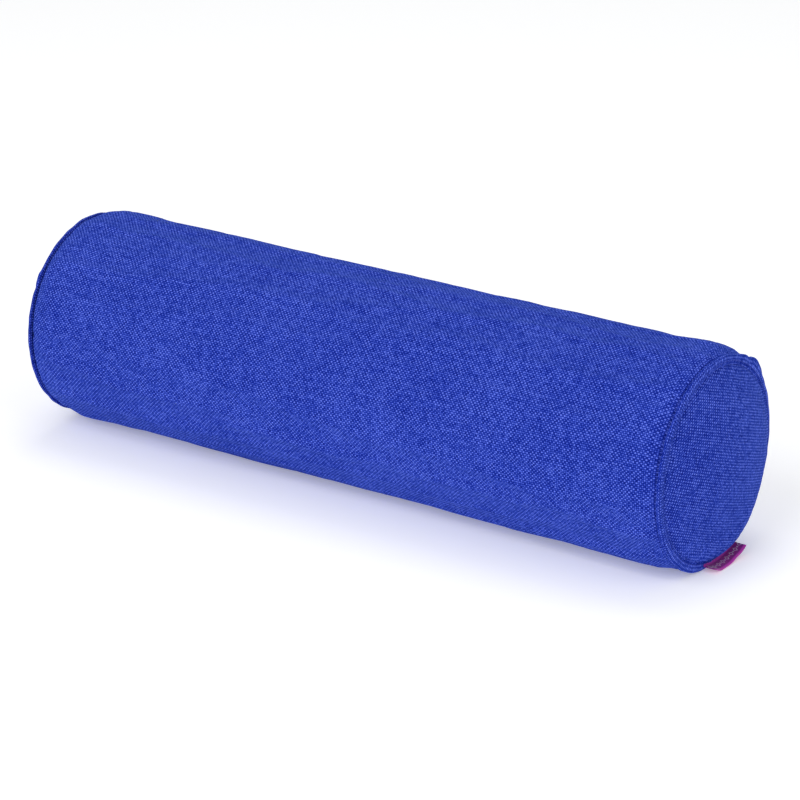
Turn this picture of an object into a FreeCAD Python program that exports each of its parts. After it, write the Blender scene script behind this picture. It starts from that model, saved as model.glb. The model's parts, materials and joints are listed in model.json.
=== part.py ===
"""Round bolster pillow: a stuffed inner cushion in a removable zipped cover.

Millimetres. +X runs along the bolster to the end with the side label, -Y is the front, +Y the back
where the zip is, +Z is up. The origin is the centre of the flat strip that the bolster rests on.
"""

import FreeCAD
import Part
import math
import os

Vector = FreeCAD.Vector

# ---- Driving dimensions -------------------------------------------------------------------
DIAMETER = 150.0  # outside of the cover, over the barrel
SEAM_TO_SEAM = 518.0  # between the two ends of the barrel panel
END_RISE = 18.0  # how far each end panel domes out of its seam
REST_WIDTH = 36.0  # width of the strip that the bolster's weight presses flat
SHOULDER_LENGTH = 26.8  # stretch over which the barrel narrows towards each end seam
SHOULDER_DROP = 3.5  # how much its radius narrows there

COVER_THICKNESS = 1.0  # cotton canvas
LINER_THICKNESS = 0.6  # calico case of the inner cushion
COVER_TO_LINER = 0.2  # play between the cover and the inner cushion
LINER_TO_FILL = 0.1

# Welt: the folded strip that stands around each end seam.
WELT_HEIGHT = 6.6  # across the strip, in the radial direction
WELT_THICKNESS = 3.6
WELT_INNER_RADIUS = 67.0
THREAD_RADIUS = 0.35

# Side label: a folded ribbon sewn into the lower side of the right-hand end seam.
LABEL_WIDTH = 48.0  # along the seam
LABEL_REACH = 10.5  # out of the seam
LABEL_THICKNESS = 1.0  # two layers of ribbon
LABEL_SPLAY = 18.0  # degrees that it leans outwards
LABEL_CENTRE_ANGLE = -87.0  # degrees round the end, from the back, so just past straight down

# Care label: inside the cover, beside the zip.
CARE_LABEL_LENGTH, CARE_LABEL_WIDTH, CARE_LABEL_THICKNESS = 30.0, 14.0, 0.45
CARE_LABEL_X = -165.0
CARE_LABEL_OFFSET = 13.0  # from the zip's centre line

# Zip: a coil zip with a 6 mm chain, set in the long seam.
ZIP_ANGLE = 25.0  # degrees above the horizontal, at the back
ZIP_HALF_LENGTH = 200.0  # from the zip's middle to the outer end of its stops
ZIP_SLOT_HALF_WIDTH = 5.3
ZIP_SLOT_HALF_LENGTH = 203.0
HEM_WIDTH, HEM_THICKNESS = 9.7, 0.8  # the cover's edge, folded under beside the zip
TAPE_WIDTH, TAPE_THICKNESS = 15.25, 0.6
TAPE_OVERRUN = 8.0  # how far the tapes run on past the stops
CHAIN_GAP = 0.75  # half of the slit that the slider's wedge runs in
COIL_WIDTH, COIL_HEIGHT = 2.45, 1.8
STOP_LENGTH, STOP_HEIGHT, STOP_WIDTH = 3.0, 2.2, 3.15
ZIP_POCKET_RADIUS = 70.0  # the zip presses the inner cushion flat down to here
ZIP_STITCH_OFFSET = 8.0  # from the zip's centre line to each row of stitches
ZIP_STITCH_RADIUS = 0.3

# Slider and pull tab.
SLIDER_X = 190.0  # the slider's middle with the zip closed
SLIDER_LENGTH = 12.0
SLIDER_FRONT_HALF_WIDTH, SLIDER_REAR_HALF_WIDTH = 4.7, 4.5
TOP_PLATE_Z, TOP_PLATE_THICKNESS = 75.4, 1.2  # radial height of its underside
BOTTOM_PLATE_Z, BOTTOM_PLATE_THICKNESS = 70.9, 1.3
PLATE_ROUND = 1.6  # corner radius of both plates
RAIL_OFFSET, RAIL_WIDTH, RAIL_Z = 4.1, 0.75, 73.6  # rails either side of the chain
RAIL_FRONT_X = 3.0
WEDGE_HALF_WIDTH, WEDGE_REAR_X, WEDGE_FRONT_X = 0.4, 2.0, 5.5
BRIDGE_HALF_LENGTH, BRIDGE_HALF_WIDTH = 3.6, 1.2
BRIDGE_OPENING_HALF_LENGTH, BRIDGE_OPENING_HEIGHT, BRIDGE_HEIGHT = 2.6, 2.0, 3.2
BRIDGE_ROUND = 1.1
PIVOT_RISE = 1.0  # from the top plate to the tab's pivot
PIVOT_RADIUS = 0.65
TAB_THICKNESS = 1.2
TAB_LEG_INNER, TAB_LEG_OUTER = 1.75, 2.9
TAB_BODY_START, TAB_LENGTH = 4.9, 27.0
TAB_HALF_WIDTH = 3.6
TAB_TIP_ROUND, TAB_ROOT_ROUND = 3.2, 0.6
TAB_HOLE_RADIUS, TAB_HOLE_X = 1.6, -23.2

# ---- Worked out from them -----------------------------------------------------------------
RADIUS = DIAMETER / 2
AXIS_Z = math.sqrt(RADIUS**2 - (REST_WIDTH / 2) ** 2)
BARREL_END = SEAM_TO_SEAM / 2
SHOULDER_START = BARREL_END - SHOULDER_LENGTH
SHOULDER_RADIUS = (SHOULDER_LENGTH**2 + SHOULDER_DROP**2) / (2 * SHOULDER_DROP)
DOME_EDGE_X = BARREL_END + 1.0
DOME_RADIUS = (WELT_INNER_RADIUS**2 + END_RISE**2) / (2 * END_RISE)
DOME_CENTRE_X = DOME_EDGE_X + END_RISE - DOME_RADIUS
LINER_INSET = COVER_THICKNESS + COVER_TO_LINER
LINER_SPLIT_X = BARREL_END - LINER_INSET - 1.1
FILL_INSET = LINER_INSET + LINER_THICKNESS + LINER_TO_FILL
TAPE_OUTER_RADIUS = RADIUS - COVER_THICKNESS - HEM_THICKNESS
HUGE = 1000.0

AXIS_POINT = Vector(0, 0, AXIS_Z)
ALONG_X = Vector(1, 0, 0)


# ---- Shape helpers ------------------------------------------------------------------------
def at(x, radius):
    """A point of a profile, straight above the bolster's axis."""
    return Vector(x, 0, AXIS_Z + radius)


def line(a, b):
    return Part.LineSegment(a, b).toShape()


def arc(a, middle, b):
    return Part.Arc(a, middle, b).toShape()


def revolved(edges, start=0.0, sweep=360.0):
    """The closed profile turned round the bolster's axis. Angles run from straight up towards -Y."""
    face = Part.Face(Part.Wire(edges))
    face.rotate(AXIS_POINT, ALONG_X, start)
    return face.revolve(AXIS_POINT, ALONG_X, sweep)


def shoulder_point(inset, share):
    """A point on the barrel's narrowing end; share 0 is where it starts and 1 is at the seam."""
    radius = SHOULDER_RADIUS - inset
    angle = share * math.asin(SHOULDER_LENGTH / radius)
    return SHOULDER_START + radius * math.sin(angle), RADIUS - SHOULDER_RADIUS + radius * math.cos(angle)


def barrel_body(inset):
    """Solid of the barrel, inset from the cover's outside. Past the end seams it runs on straight."""
    end_x, end_r = shoulder_point(inset, 1.0)
    mid_x, mid_r = shoulder_point(inset, 0.5)
    far_x, top = end_x + 2 * END_RISE, RADIUS - inset
    edges = [
        line(at(-far_x, 0), at(-far_x, end_r)),
        line(at(-far_x, end_r), at(-end_x, end_r)),
        arc(at(-end_x, end_r), at(-mid_x, mid_r), at(-SHOULDER_START, top)),
        line(at(-SHOULDER_START, top), at(SHOULDER_START, top)),
        arc(at(SHOULDER_START, top), at(mid_x, mid_r), at(end_x, end_r)),
        line(at(end_x, end_r), at(far_x, end_r)),
        line(at(far_x, end_r), at(far_x, 0)),
        line(at(far_x, 0), at(-far_x, 0)),
    ]
    return above(inset, revolved(edges))


def dome_point(inset, radius):
    return at(DOME_CENTRE_X + math.sqrt((DOME_RADIUS - inset) ** 2 - radius**2), radius)


def above(height, shape):
    """What is left of shape above a level."""
    return shape.common(Part.makeBox(HUGE, HUGE, HUGE, Vector(-HUGE / 2, -HUGE / 2, height)))


def between(shape, x0, x1):
    """What is left of shape between two places along the bolster."""
    return shape.common(Part.makeBox(x1 - x0, HUGE, HUGE, Vector(x0, -HUGE / 2, -HUGE / 2)))


def mirrored(shape):
    """The same piece at the left-hand end."""
    return shape.mirror(Vector(0, 0, 0), ALONG_X)


def to_zip(shape):
    """Turns a shape made straight above the axis round to where the zip is."""
    turned = shape.copy()
    turned.rotate(AXIS_POINT, ALONG_X, ZIP_ANGLE - 90.0)
    return turned


def box(x0, x1, y0, y1, r0, r1):
    """A box above the axis, between two radial heights."""
    return Part.makeBox(x1 - x0, y1 - y0, r1 - r0, Vector(x0, y0, AXIS_Z + r0))


def arc_strip(x0, x1, near, far, r0, r1):
    """A strip that follows the barrel, between two distances round it from straight above the axis."""
    edges = [
        line(at(x0, r0), at(x1, r0)),
        line(at(x1, r0), at(x1, r1)),
        line(at(x1, r1), at(x0, r1)),
        line(at(x0, r1), at(x0, r0)),
    ]
    start, end = (-math.degrees(s / RADIUS) for s in (near, far))
    return revolved(edges, start, end - start)


def upright_edges(shape):
    """The straight edges that stand parallel to Z."""
    pairs = [(e, e.Vertexes) for e in shape.Edges if len(e.Vertexes) == 2]
    return [e for e, (a, b) in pairs if math.hypot(a.X - b.X, a.Y - b.Y) < 1e-6 and abs(a.Z - b.Z) > 0.1]


def both_sides(make):
    """The same piece on each side of the zip's centre line: (upper, lower)."""
    lower = make()
    upper = lower.mirror(Vector(0, 0, 0), Vector(0, 1, 0))
    return to_zip(upper), to_zip(lower)


# ---- Cover --------------------------------------------------------------------------------
def cover_barrel():
    """Rolled panel of canvas, open at both ends, with a hemmed slot for the zip along the back."""
    shell = between(barrel_body(0.0), -BARREL_END, BARREL_END).cut(barrel_body(COVER_THICKNESS))
    hem_end = ZIP_SLOT_HALF_LENGTH + 3.0
    hem_outer = RADIUS - COVER_THICKNESS
    hems = both_sides(
        lambda: arc_strip(
            -hem_end,
            hem_end,
            ZIP_SLOT_HALF_WIDTH - 1.0,
            ZIP_SLOT_HALF_WIDTH + HEM_WIDTH,
            TAPE_OUTER_RADIUS,
            hem_outer,
        )
    )
    slot = box(
        -ZIP_SLOT_HALF_LENGTH,
        ZIP_SLOT_HALF_LENGTH,
        -ZIP_SLOT_HALF_WIDTH,
        ZIP_SLOT_HALF_WIDTH,
        TAPE_OUTER_RADIUS - 2.0,
        RADIUS + 2.0,
    )
    return shell.fuse(list(hems)).cut(to_zip(slot)).removeSplitter()


def cover_end():
    """Domed round end panel, sewn to the inner edge of the welt."""
    edge, inner_edge = dome_point(0.0, WELT_INNER_RADIUS), dome_point(COVER_THICKNESS, WELT_INNER_RADIUS)
    tip, inner_tip = dome_point(0.0, 0.0), dome_point(COVER_THICKNESS, 0.0)
    half = WELT_INNER_RADIUS / 2
    return revolved(
        [
            arc(edge, dome_point(0.0, half), tip),
            line(tip, inner_tip),
            arc(inner_tip, dome_point(COVER_THICKNESS, half), inner_edge),
            line(inner_edge, edge),
        ]
    )


def edge_welt():
    """Folded strip of canvas around the end seam, pressed flat where the bolster rests."""
    x0, x1 = BARREL_END, BARREL_END + WELT_THICKNESS
    middle, rounding = (x0 + x1) / 2, WELT_THICKNESS / 2
    inner, outer = WELT_INNER_RADIUS, WELT_INNER_RADIUS + WELT_HEIGHT
    edges = [
        line(at(x0, inner + rounding), at(x0, outer - rounding)),
        arc(at(x0, outer - rounding), at(middle, outer), at(x1, outer - rounding)),
        line(at(x1, outer - rounding), at(x1, inner + rounding)),
        arc(at(x1, inner + rounding), at(middle, inner), at(x0, inner + rounding)),
    ]
    return above(0.0, revolved(edges))


def welt_stitching():
    """Row of thread in the crease between the welt and the end panel."""
    crease = dome_point(-THREAD_RADIUS - 0.02, WELT_INNER_RADIUS - 0.6)
    return Part.makeTorus(crease.z - AXIS_Z, THREAD_RADIUS, at(crease.x, 0), ALONG_X)


def side_label():
    """Folded ribbon that stands out of the right-hand end seam, close to the surface it rests on."""
    root = at(DOME_EDGE_X + 1.7, WELT_INNER_RADIUS - 0.4)
    splay = math.radians(LABEL_SPLAY)
    outwards = Vector(math.cos(splay), 0, math.sin(splay))
    across = Vector(-math.sin(splay), 0, math.cos(splay)) * (LABEL_THICKNESS / 2)
    tip = root + outwards * LABEL_REACH
    fold = tip + outwards * (LABEL_THICKNESS / 2)
    sweep = math.degrees(LABEL_WIDTH / (WELT_INNER_RADIUS + LABEL_REACH * math.sin(splay)))
    start = LABEL_CENTRE_ANGLE - 90.0 - sweep / 2
    edges = [
        line(root - across, tip - across),
        arc(tip - across, fold, tip + across),
        line(tip + across, root + across),
        line(root + across, root - across),
    ]
    return revolved(edges, start, sweep)


def care_label():
    """Flat label on the inner cushion's side of the cover, beside the zip."""
    half = CARE_LABEL_LENGTH / 2
    near = CARE_LABEL_OFFSET - CARE_LABEL_WIDTH / 2
    low = ZIP_POCKET_RADIUS + 0.05
    return to_zip(
        box(
            CARE_LABEL_X - half,
            CARE_LABEL_X + half,
            near,
            near + CARE_LABEL_WIDTH,
            low,
            low + CARE_LABEL_THICKNESS,
        )
    )


# ---- Zip ----------------------------------------------------------------------------------
def zip_tape():
    end = ZIP_HALF_LENGTH + TAPE_OVERRUN
    return arc_strip(
        -end,
        end,
        CHAIN_GAP,
        CHAIN_GAP + TAPE_WIDTH,
        TAPE_OUTER_RADIUS - TAPE_THICKNESS,
        TAPE_OUTER_RADIUS,
    )


def zip_coil():
    end = ZIP_HALF_LENGTH - STOP_LENGTH
    return box(
        -end,
        end,
        CHAIN_GAP,
        CHAIN_GAP + COIL_WIDTH,
        TAPE_OUTER_RADIUS,
        TAPE_OUTER_RADIUS + COIL_HEIGHT,
    )


def zip_top_stops():
    """One clamp on each half of the chain, at the closed end."""
    stops = both_sides(
        lambda: box(
            ZIP_HALF_LENGTH - STOP_LENGTH,
            ZIP_HALF_LENGTH,
            CHAIN_GAP,
            CHAIN_GAP + STOP_WIDTH,
            TAPE_OUTER_RADIUS,
            TAPE_OUTER_RADIUS + STOP_HEIGHT,
        )
    )
    return Part.makeCompound(list(stops))


def zip_bottom_stop():
    """One clamp across both halves of the chain, at the end where the zip opens."""
    return to_zip(
        box(
            -ZIP_HALF_LENGTH,
            STOP_LENGTH - ZIP_HALF_LENGTH,
            -CHAIN_GAP - STOP_WIDTH,
            CHAIN_GAP + STOP_WIDTH,
            TAPE_OUTER_RADIUS,
            TAPE_OUTER_RADIUS + STOP_HEIGHT,
        )
    )


def zip_stitching():
    """Rectangle of thread round the zip: two long rows, joined by a short row at each end."""
    end = ZIP_SLOT_HALF_LENGTH + 3.0
    radius = RADIUS + ZIP_STITCH_RADIUS + 0.05
    angle = ZIP_STITCH_OFFSET / radius
    y, z = radius * math.sin(angle), AXIS_Z + radius * math.cos(angle)
    rows = both_sides(lambda: Part.makeCylinder(ZIP_STITCH_RADIUS, 2 * end, Vector(-end, y, z), ALONG_X))
    cross_rows = []
    for x in (-end, end):
        ring = Part.Face(Part.Wire(Part.makeCircle(ZIP_STITCH_RADIUS, at(x, radius), Vector(0, 1, 0))))
        ring.rotate(AXIS_POINT, ALONG_X, math.degrees(angle))
        cross_rows.append(to_zip(ring.revolve(AXIS_POINT, ALONG_X, -2 * math.degrees(angle))))
    loop = rows[0].fuse([rows[1]] + cross_rows)
    return loop.removeSplitter()


def zip_slider():
    """Slider body: two plates joined by a wedge at the front, side rails and a bridge for the tab."""
    front, rear = SLIDER_LENGTH / 2, -SLIDER_LENGTH / 2
    corners = [
        (rear, -SLIDER_REAR_HALF_WIDTH),
        (front, -SLIDER_FRONT_HALF_WIDTH),
        (front, SLIDER_FRONT_HALF_WIDTH),
        (rear, SLIDER_REAR_HALF_WIDTH),
    ]

    def plate(low, thickness):
        points = [Vector(x, y, AXIS_Z + low) for x, y in corners]
        outline = Part.makePolygon(points + points[:1])
        slab = Part.Face(outline).extrude(Vector(0, 0, thickness))
        return slab.makeFillet(PLATE_ROUND, upright_edges(slab))

    top = plate(TOP_PLATE_Z, TOP_PLATE_THICKNESS)
    bottom = plate(BOTTOM_PLATE_Z, BOTTOM_PLATE_THICKNESS)
    rail_middles = (-RAIL_OFFSET, RAIL_OFFSET)
    rails = [
        box(rear + PLATE_ROUND, RAIL_FRONT_X, y - RAIL_WIDTH / 2, y + RAIL_WIDTH / 2, RAIL_Z, TOP_PLATE_Z)
        for y in rail_middles
    ]
    wedge = box(
        WEDGE_REAR_X,
        WEDGE_FRONT_X,
        -WEDGE_HALF_WIDTH,
        WEDGE_HALF_WIDTH,
        BOTTOM_PLATE_Z + BOTTOM_PLATE_THICKNESS,
        TOP_PLATE_Z,
    )
    plate_top = TOP_PLATE_Z + TOP_PLATE_THICKNESS
    arch = box(
        -BRIDGE_HALF_LENGTH,
        BRIDGE_HALF_LENGTH,
        -BRIDGE_HALF_WIDTH,
        BRIDGE_HALF_WIDTH,
        plate_top,
        plate_top + BRIDGE_HEIGHT,
    )
    shoulders = [e for e in arch.Edges if e.BoundBox.XLength < 1e-6 and e.BoundBox.ZLength < 1e-6]
    crown = [e for e in shoulders if e.BoundBox.ZMin > arch.BoundBox.Center.z]
    arch = arch.makeFillet(BRIDGE_ROUND, crown)
    opening = box(
        -BRIDGE_OPENING_HALF_LENGTH,
        BRIDGE_OPENING_HALF_LENGTH,
        -BRIDGE_HALF_WIDTH - 1,
        BRIDGE_HALF_WIDTH + 1,
        plate_top,
        plate_top + BRIDGE_OPENING_HEIGHT,
    )
    slider = top.fuse([bottom, wedge, arch.cut(opening)] + rails).removeSplitter()
    slider.translate(Vector(SLIDER_X, 0, 0))
    return to_zip(slider)


def zip_pull_tab():
    """Pull tab, lying back over the closed chain, with its cross-bar under the slider's bridge."""
    pivot = TOP_PLATE_Z + TOP_PLATE_THICKNESS + PIVOT_RISE
    low, high = pivot - TAB_THICKNESS / 2, pivot + TAB_THICKNESS / 2
    bar = Part.makeCylinder(
        PIVOT_RADIUS, 2 * TAB_LEG_OUTER, Vector(0, -TAB_LEG_OUTER, AXIS_Z + pivot), Vector(0, 1, 0)
    )
    legs = [
        box(-TAB_BODY_START - 1, 0, min(a, b), max(a, b), low, high)
        for a, b in ((TAB_LEG_INNER, TAB_LEG_OUTER), (-TAB_LEG_INNER, -TAB_LEG_OUTER))
    ]
    body = box(-TAB_LENGTH, -TAB_BODY_START, -TAB_HALF_WIDTH, TAB_HALF_WIDTH, low, high)
    middle_x = (-TAB_LENGTH - TAB_BODY_START) / 2
    body = body.makeFillet(TAB_TIP_ROUND, [e for e in upright_edges(body) if e.Vertexes[0].X < middle_x])
    body = body.makeFillet(TAB_ROOT_ROUND, [e for e in upright_edges(body) if e.Vertexes[0].X > middle_x])
    hole = Part.makeCylinder(
        TAB_HOLE_RADIUS, 3 * TAB_THICKNESS, Vector(TAB_HOLE_X, 0, AXIS_Z + low - TAB_THICKNESS)
    )
    tab = body.cut(hole).fuse([bar] + legs).removeSplitter()
    tab.translate(Vector(SLIDER_X, 0, 0))
    return to_zip(tab)


# ---- Inner cushion ------------------------------------------------------------------------
def cushion_body(inset):
    """Solid of the inner cushion, inset from the cover's outside, pressed flat under the zip."""
    body = barrel_body(inset)
    domed_end = between(body, DOME_CENTRE_X, HUGE / 2).common(
        Part.makeSphere(DOME_RADIUS - inset, at(DOME_CENTRE_X, 0))
    )
    middle = between(body, -DOME_CENTRE_X, DOME_CENTRE_X)
    whole = middle.fuse([domed_end, mirrored(domed_end)]).removeSplitter()
    pocket = to_zip(
        box(-HUGE / 2, HUGE / 2, -HUGE / 4, HUGE / 4, ZIP_POCKET_RADIUS - (inset - LINER_INSET), HUGE / 4)
    )
    return whole.cut(pocket)


def liner_case():
    return cushion_body(LINER_INSET).cut(cushion_body(LINER_INSET + LINER_THICKNESS))


def liner_seam_stitching():
    """Ring of thread where each end of the calico case is sewn on."""
    x = BARREL_END - LINER_INSET + THREAD_RADIUS + 0.05
    ring = Part.makeTorus(WELT_INNER_RADIUS + 1.5, THREAD_RADIUS, at(x, 0), ALONG_X)
    return Part.makeCompound([ring, mirrored(ring)])


def main():
    welt, end, stitching, case = edge_welt(), cover_end(), welt_stitching(), liner_case()
    tapes, coils = both_sides(zip_tape), both_sides(zip_coil)
    parts = {
        "cover_barrel": cover_barrel(),
        "cover_end_right": end,
        "cover_end_left": mirrored(end),
        "edge_welt_right": welt,
        "edge_welt_left": mirrored(welt),
        "welt_stitching_right": stitching,
        "welt_stitching_left": mirrored(stitching),
        "side_label": side_label(),
        "care_label": care_label(),
        "zip_tape_upper": tapes[0],
        "zip_tape_lower": tapes[1],
        "zip_coil_upper": coils[0],
        "zip_coil_lower": coils[1],
        "zip_top_stops": zip_top_stops(),
        "zip_bottom_stop": zip_bottom_stop(),
        "zip_stitching": zip_stitching(),
        "zip_slider": zip_slider(),
        "zip_pull_tab": zip_pull_tab(),
        "liner_tube": between(case, -LINER_SPLIT_X, LINER_SPLIT_X),
        "liner_end_right": between(case, LINER_SPLIT_X, HUGE / 2),
        "liner_end_left": between(case, -HUGE / 2, -LINER_SPLIT_X),
        "liner_seam_stitching": liner_seam_stitching(),
        "husk_fill": cushion_body(FILL_INSET),
    }
    os.makedirs("parts", exist_ok=True)
    for name, shape in parts.items():
        if not shape.isValid() or shape.Volume <= 0 or not shape.Solids:
            raise ValueError(f"{name} is not a valid solid")
        shape.exportStep(os.path.join("parts", name + ".step"))
        print(f"{name:24s} {len(shape.Solids)} solid(s) {shape.Volume / 1000:10.3f} cm3")


main()
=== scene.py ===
import contextlib
import json
import math

import bmesh
import bpy
import numpy as np
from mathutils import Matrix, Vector


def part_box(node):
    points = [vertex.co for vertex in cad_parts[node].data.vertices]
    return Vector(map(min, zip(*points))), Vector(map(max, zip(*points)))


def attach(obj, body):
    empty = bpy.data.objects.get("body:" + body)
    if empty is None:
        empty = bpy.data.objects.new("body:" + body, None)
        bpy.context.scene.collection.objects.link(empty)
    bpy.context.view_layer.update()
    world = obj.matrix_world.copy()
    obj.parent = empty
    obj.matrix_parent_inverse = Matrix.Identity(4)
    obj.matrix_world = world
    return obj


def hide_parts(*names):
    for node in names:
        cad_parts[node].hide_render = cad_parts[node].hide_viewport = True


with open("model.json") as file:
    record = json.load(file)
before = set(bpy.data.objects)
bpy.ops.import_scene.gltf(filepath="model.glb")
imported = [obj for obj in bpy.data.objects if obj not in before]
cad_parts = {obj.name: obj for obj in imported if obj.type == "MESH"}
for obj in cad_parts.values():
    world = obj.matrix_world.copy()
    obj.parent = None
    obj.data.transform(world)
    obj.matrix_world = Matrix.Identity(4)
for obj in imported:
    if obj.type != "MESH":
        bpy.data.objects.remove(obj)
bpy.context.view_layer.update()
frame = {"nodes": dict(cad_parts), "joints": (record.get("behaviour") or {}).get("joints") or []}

MM = 0.001
TURN = 2 * math.pi

# Sizes, read from the frame
barrel_low, barrel_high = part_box("cover_barrel")
welt_low, welt_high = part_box("edge_welt_right")
label_low, label_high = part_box("side_label")
care_low, care_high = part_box("care_label")
liner_low, liner_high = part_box("liner_tube")
liner_stitch_low, liner_stitch_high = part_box("liner_seam_stitching")
end_high, liner_end_high, coil_high, tape_high = (
    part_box(node)[1] for node in ("cover_end_right", "liner_end_right", "zip_coil_upper", "zip_tape_upper")
)
hinge = next(j for j in frame["joints"] if j["name"] == "pull_tab_hinge")

RADIUS = (barrel_high.y - barrel_low.y) / 2
AXIS_Z = barrel_high.z - RADIUS
BARREL_END = barrel_high.x
WELT_X = (welt_low.x + welt_high.x) / 2
WELT_OUTER = welt_high.y
RIM = end_high.y  # radius of the end panel's edge
ZIP_ANGLE = math.atan2(hinge["axis"][1], -hinge["axis"][2])

# Sizes that the CAD solids also have
CLOTH = 0.9 * MM  # thickness of the canvas
END_RISE = 18.0 * MM
RIM_X = end_high.x - END_RISE
SHOULDER_LENGTH, SHOULDER_DROP = 26.8 * MM, 3.5 * MM
SLOT_HALF_WIDTH, SLOT_HALF_LENGTH = 5.3 * MM, 203.0 * MM
HEM_REACH = 9.7 * MM
STITCH_OFFSET, STITCH_END = 8.0 * MM, 206.0 * MM
TAPE_OUTER_EDGE, TAPE_THICKNESS = 16.0 * MM, 0.6 * MM
TAPE_FACE = RADIUS - 1.8 * MM  # radius of the tapes' outer face
COIL_OUTER_EDGE, COIL_HEIGHT = 3.2 * MM, 1.8 * MM
ZIP_POCKET = 70.0 * MM  # the zip presses the inner cushion flat at this radius

# Shape of the stuffed cover
STUFFED = 0.6 * MM  # how much further out its cloth stands than the plain barrel
PUFF = 1.7 * MM  # and how much more away from its ends
UPPER_SHOULDER = {1: (1.2 * MM, 1.2 * MM), -1: (0.9 * MM, 0.8 * MM)}  # extra near each end, and far from it
SAG = math.radians(102)  # where the ends bulge under the weight of the fill
WELT_ROOT = RIM - 1.2 * MM
WELT_HALF_THICKNESS = {1: 1.4 * MM, -1: 1.05 * MM}
WELT_JOIN = {1: math.radians(-20), -1: math.radians(-120)}  # where each welt's ends overlap
WELT_LEAN = math.radians(45)  # where the right-hand welt leans back most
TUCKS = [(-1, math.radians(-87)), (-1, math.radians(-64)), (-1, math.radians(-152)), (1, math.radians(-34))]

# Side label, folded from a flat ribbon twice as long as its reach
LABEL_WIDTH, LABEL_REACH, LABEL_THICKNESS = 39 * MM, 13.0 * MM, 0.34 * MM
LABEL_GAP = 0.12 * MM  # half the gap between its two layers
LABEL_SPLAY = math.radians(10)  # how far it leans from level
LABEL_SHIFT = 0.05  # radians round the end from the middle of the CAD label
LABEL_BAND_CENTRE, LABEL_BAND_HALF_WIDTH = 6.2 * MM, 2.45 * MM
LOZENGE_PITCH, LOZENGE_SIZE = 5.4 * MM, 1.35 * MM

# Detail of the cloth, the thread and the zip
WEAVE_PITCH, CALICO_PITCH = 1.38 * MM, 0.9 * MM  # one pair of yarns
WANDER = 0.3  # how far yarns stray from straight, in pairs
STITCH_PITCH, LINER_STITCH_PITCH, STITCH_LENGTH, THREAD = 3.0 * MM, 3.4 * MM, 2.5 * MM, 0.27 * MM
TAPE_INNER_EDGE = 0.17 * MM
COIL_PITCH, COIL_WIRE = 1.3 * MM, 0.3 * MM
WEDGE_HALF_WIDTH, WEDGE_KEPT = 0.4 * MM, 0.28

# Grid of the simulated skin
AROUND, ALONG, ACROSS_END = 160, 168, 40  # cells; AROUND is 4 times ACROSS_END
SIM_FRAMES = 20

NORMAL = np.array([0.0, math.cos(ZIP_ANGLE), math.sin(ZIP_ANGLE)])  # out of the bolster at the zip
LOWER = np.array([0.0, math.sin(ZIP_ANGLE), -math.cos(ZIP_ANGLE)])  # round the bolster, downwards
CENTRE = np.array([0.0, 0.0, AXIS_Z])
X_AXIS = np.array([1.0, 0.0, 0.0])
SIDES, TAPE_NAMES = {1: "right", -1: "left"}, {1: "lower", -1: "upper"}

# Colours and light
# The canvas's dark end is painted shade in the weave's hollows plus darker random flecks; its pale end is
# painted highlight on the thread tops plus paler random flecks.
CANVAS_PAINTED_SHADE_AND_DARK_FLECK, CANVAS_BLUE, CANVAS_PAINTED_HIGHLIGHT_AND_PALE_FLECK = (0.001, 0.006, 0.195), (0.016, 0.044, 0.44), (0.14, 0.21, 0.88)
FLOOR_WHITE, FLOOR_GLOW = (0.95, 0.95, 0.95), 0.25
SKY, SKY_STRENGTH = (0.97, 0.985, 1.0), 0.46
STUDIO_LIGHTS = (  # name, azimuth, elevation, distance, size, watts
    ("key_softbox", -2, 38, 3.0, 2.2, 39),
    ("top_softbox", 200, 70, 2.6, 1.8, 14),
    ("side_softbox", 80, 30, 3.0, 2.0, 14),
)
VIEW_AZIMUTH, VIEW_ELEVATION, LENS = 34.6, 20.9, 173.5


# Small maths
def smoothstep(low, high, value):
    t = np.clip((np.asarray(value, float) - low) / (high - low), 0, 1)
    return t * t * (3 - 2 * t)


def bell(value, width):
    return np.exp(-((value / width) ** 2))


def wrapped(value, period):
    """Signed distance round a ring, at most half its length."""
    return (value + period / 2) % period - period / 2


def signed_power(value, power):
    return np.sign(value) * np.abs(value) ** power


def unit(vectors):
    return vectors / np.maximum(np.linalg.norm(vectors, axis=-1, keepdims=True), 1e-12)


def outwards(angle):
    """Direction out of the bolster's axis; angle 0 is at the zip and grows downwards from it."""
    angle = np.asarray(angle, float)[..., None]
    return np.cos(angle) * NORMAL + np.sin(angle) * LOWER


def ring_point(x, radius, angle):
    x, radius, angle = np.broadcast_arrays(x, radius, angle)
    out = radius[..., None] * outwards(angle) + CENTRE
    out[..., 0] += x
    return out


def on_disc(radius, angle):
    return np.stack([radius * np.cos(angle), radius * np.sin(angle)], -1)


def on_floor(points, softness=1.2 * MM):
    """Presses what is under the floor flat against it."""
    z = points[..., 2]
    points[..., 2] = np.where(z < 6 * softness, (z + np.sqrt(z * z + softness**2)) / 2, z)
    return points


def waves(seed, low, high, count, period):
    """Smooth random function that repeats round a ring, from cosines with low to high waves each."""
    draw = np.random.default_rng(seed)
    number = draw.integers(low, high + 1, count)
    phase = draw.uniform(0, TURN, count)
    size = draw.uniform(0.4, 1.0, count) / math.sqrt(count)
    return lambda s: sum(a * np.cos(n * TURN / period * s + p) for n, p, a in zip(number, phase, size))


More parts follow.
